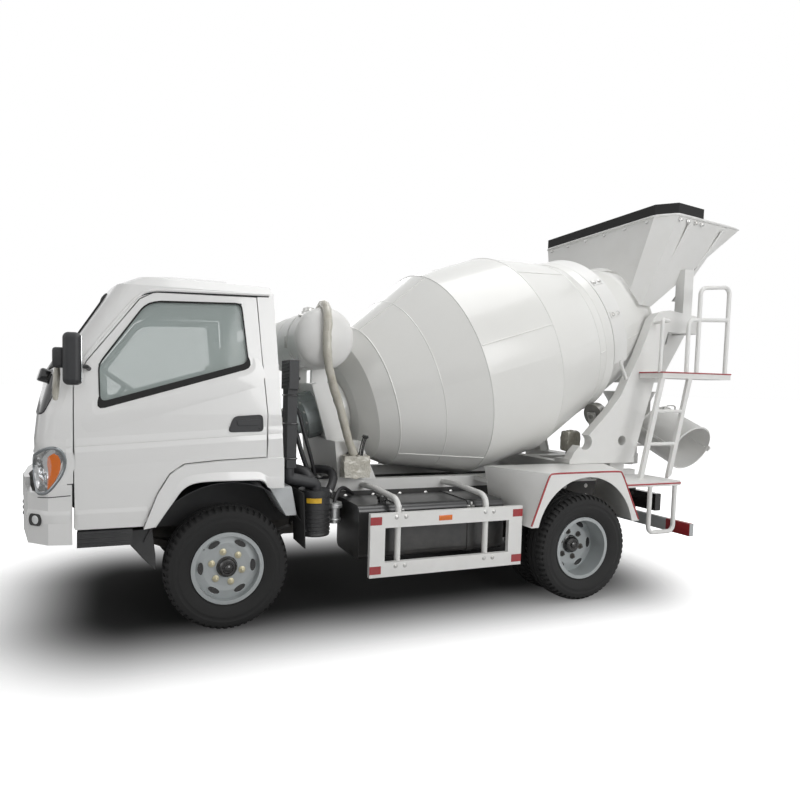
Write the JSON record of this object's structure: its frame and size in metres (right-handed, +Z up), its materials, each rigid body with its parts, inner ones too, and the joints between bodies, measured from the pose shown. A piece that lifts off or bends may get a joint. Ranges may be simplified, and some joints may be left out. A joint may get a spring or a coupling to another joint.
{
  "type": "small concrete mixer truck",
  "caption": "Small cab-over concrete mixer truck with a tilting cab, opening doors, steering, a turning drum, a charging hopper and a folding discharge chute.",
  "frame": {"origin": "on the ground under the middle of the overall length and width", "axes": "+X forward out of the cab, +Y to the truck's left, +Z up"},
  "size_m": [5.659, 2.12, 3.04],
  "materials": {
    "body_white": "gloss white enamel",
    "frame_black": "satin black chassis paint",
    "wheel_silver": "silver wheel enamel",
    "tyre_rubber": "moulded tyre rubber",
    "axle_iron": "black painted casting",
    "spring_steel": "black painted spring steel",
    "machine_grey": "grey machine enamel",
    "trim_black": "grained black plastic",
    "guard_grey": "pale grey enamel",
    "filter_metal": "bare aluminium casting",
    "roller_steel": "turned steel",
    "sheet_rubber": "black sheet rubber",
    "window_glass": "clear toughened glass",
    "lamp_glass": "clear lamp lens over a bright reflector",
    "lamp_black": "dark lamp housing",
    "seat_cloth": "pale woven cloth",
    "cabin_plastic": "grey cabin plastic"
  },
  "bodies": {
    "chassis": {"chassis_rails": "frame_black", "chassis_crossmembers": "frame_black", "front_axle": "axle_iron", "rear_axle": "axle_iron", "leaf_springs": "spring_steel", "engine_block": "axle_iron", "fuel_tank": "frame_black", "air_intake": "trim_black", "fuel_filter": "filter_metal", "battery_box": "trim_black", "mudflaps": "sheet_rubber", "side_guards": "body_white", "rear_fenders": "body_white", "underrun_bar": "guard_grey", "tail_lamps": "lamp_black", "subframe_rails": "body_white", "drum_pedestal": "body_white", "drum_gearbox": "machine_grey", "control_box": "frame_black", "water_tank": "body_white", "rear_arms": "body_white", "rear_frame": "body_white", "hopper": "body_white", "hopper_rubber": "sheet_rubber", "platform": "body_white", "ladder": "body_white"},
    "cab": {"cab_shell": "body_white", "cab_floor": "guard_grey", "cab_glass": "window_glass", "headlights": "lamp_glass", "cowl_panel": "trim_black", "sills": "trim_black", "bumper": "body_white", "dashboard": "cabin_plastic", "seats": "seat_cloth"},
    "steering_wheel": {"steering_wheel": "cabin_plastic"},
    "door_left": {"door_left": "body_white", "door_glass_left": "window_glass", "mirror_left": "trim_black"},
    "door_right": {"door_right": "body_white", "door_glass_right": "window_glass", "mirror_right": "trim_black"},
    "knuckle_left": {"knuckle_left": "axle_iron"},
    "knuckle_right": {"knuckle_right": "axle_iron"},
    "tie_rod": {"tie_rod": "axle_iron"},
    "wheel_front_left": {"tyre_front_left": "tyre_rubber", "rim_front_left": "wheel_silver"},
    "wheel_front_right": {"tyre_front_right": "tyre_rubber", "rim_front_right": "wheel_silver"},
    "wheel_rear_left": {"tyres_rear_left": "tyre_rubber", "rims_rear_left": "wheel_silver"},
    "wheel_rear_right": {"tyres_rear_right": "tyre_rubber", "rims_rear_right": "wheel_silver"},
    "drum": {"drum_head": "body_white", "drum_belly": "body_white", "drum_cone": "body_white"},
    "roller_left": {"roller_left": "roller_steel"},
    "roller_right": {"roller_right": "roller_steel"},
    "chute_pivot": {"chute_pivot": "body_white"},
    "chute": {"chute": "body_white"},
    "chute_extension": {"chute_extension": "body_white"}
  },
  "joints": [
    {"name": "wheel_front_left_roll", "type": "hinge", "parent": "knuckle_left", "child": "wheel_front_left", "pos_m": [1.62, 0.685, 0.388], "axis": [0, 1, 0], "continuous": true},
    {"name": "wheel_front_right_roll", "type": "hinge", "parent": "knuckle_right", "child": "wheel_front_right", "pos_m": [1.62, -0.685, 0.388], "axis": [0, 1, 0], "continuous": true},
    {"name": "wheel_rear_left_roll", "type": "hinge", "parent": "chassis", "child": "wheel_rear_left", "pos_m": [-0.92, 0.77, 0.388], "axis": [0, 1, 0], "continuous": true},
    {"name": "wheel_rear_right_roll", "type": "hinge", "parent": "chassis", "child": "wheel_rear_right", "pos_m": [-0.92, -0.77, 0.388], "axis": [0, 1, 0], "continuous": true},
    {"name": "steer_left", "type": "hinge", "parent": "chassis", "child": "knuckle_left", "pos_m": [1.62, 0.6, 0.363], "axis": [0, 0, 1], "range_deg": [-32, 32]},
    {"name": "steer_right", "type": "hinge", "parent": "chassis", "child": "knuckle_right", "pos_m": [1.62, -0.6, 0.363], "axis": [0, 0, 1], "range_deg": [-32, 32]},
    {"name": "tie_rod_swing", "type": "hinge", "parent": "knuckle_left", "child": "tie_rod", "pos_m": [1.47, 0.53, 0.262], "axis": [0, 0, 1], "range_deg": [-32, 32]},
    {"name": "steering_wheel_turn", "type": "hinge", "parent": "cab", "child": "steering_wheel", "pos_m": [2.22, 0.38, 1.5], "axis": [-0.5736, 0, 0.8192], "range_deg": [-540, 540]},
    {"name": "cab_tilt", "type": "hinge", "parent": "chassis", "child": "cab", "pos_m": [2.47, 0, 0.65], "axis": [0, 1, 0], "range_deg": [0, 45]},
    {"name": "door_left_swing", "type": "hinge", "parent": "cab", "child": "door_left", "pos_m": [2.508, 0.823, 1.3], "axis": [0, 0, -1], "range_deg": [0, 65]},
    {"name": "door_right_swing", "type": "hinge", "parent": "cab", "child": "door_right", "pos_m": [2.508, -0.823, 1.3], "axis": [0, 0, 1], "range_deg": [0, 65]},
    {"name": "drum_spin", "type": "hinge", "parent": "chassis", "child": "drum", "pos_m": [0.621, 0, 1.378], "axis": [-0.9581, 0, 0.2865], "continuous": true},
    {"name": "roller_left_spin", "type": "hinge", "parent": "chassis", "child": "roller_left", "pos_m": [-1.55653, 0.3877, 1.32832], "axis": [-0.9581, 0, 0.2865], "continuous": true},
    {"name": "roller_right_spin", "type": "hinge", "parent": "chassis", "child": "roller_right", "pos_m": [-1.55653, -0.3877, 1.32832], "axis": [-0.9581, 0, 0.2865], "continuous": true},
    {"name": "chute_swivel", "type": "hinge", "parent": "chassis", "child": "chute_pivot", "pos_m": [-2.35, 0, 0.93], "axis": [0, 0, 1], "range_deg": [0, 180]},
    {"name": "chute_tilt", "type": "hinge", "parent": "chute_pivot", "child": "chute", "pos_m": [-2.35, 0, 1.3], "axis": [1, 0, 0], "range_deg": [-12, 15]},
    {"name": "chute_extension_fold", "type": "hinge", "parent": "chute", "child": "chute_extension", "pos_m": [-2.35, 0.64507, 1.05553], "axis": [-1, 0, 0], "range_deg": [0, 180]}
  ],
  "couplings": [
    {"joint": "steer_right", "follows": "steer_left", "ratio": 1},
    {"joint": "tie_rod_swing", "follows": "steer_left", "ratio": -1},
    {"joint": "steering_wheel_turn", "follows": "steer_left", "ratio": 16.875},
    {"joint": "roller_left_spin", "follows": "drum_spin", "ratio": -6.75},
    {"joint": "roller_right_spin", "follows": "drum_spin", "ratio": -6.75}
  ]
}
